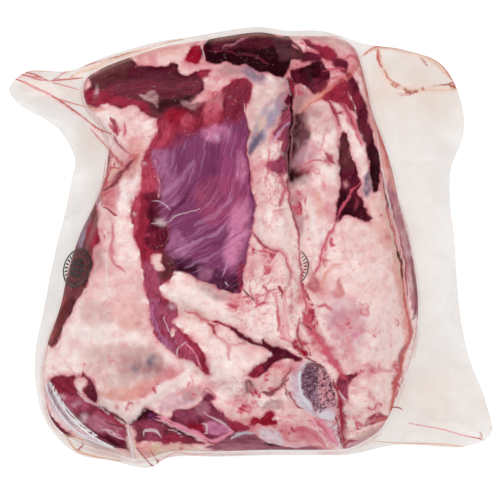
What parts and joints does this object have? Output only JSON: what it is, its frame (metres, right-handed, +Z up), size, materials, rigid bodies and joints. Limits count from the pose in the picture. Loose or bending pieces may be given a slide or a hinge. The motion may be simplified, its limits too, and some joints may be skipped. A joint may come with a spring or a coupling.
{
  "type": "raw leg of lamb",
  "caption": "Raw bone-in leg of lamb in a clear vacuum bag, lying flat with its cut side up, the sawn hip bone showing and the bag's empty margin standing out.",
  "frame": {"origin": "on the table, under the middle of the whole pack's box", "axes": "+Z up out of the cut side that shows, +X across the pack towards the wide empty margin of the bag, +Y towards the end with the dark lean"},
  "size_m": [0.3394, 0.3084, 0.0648],
  "materials": {
    "meat": "moist raw lamb: creamy pink fat, dark red and purple lean, glossy under the film",
    "bone": "sawn bone, spongy in the middle with a pale rim",
    "film": "clear, slightly milky vacuum film with gloss"
  },
  "bodies": {
    "root": {"leg_of_lamb": "meat", "hip_bone": "bone", "bag_margin": "film"}
  },
  "joints": []
}
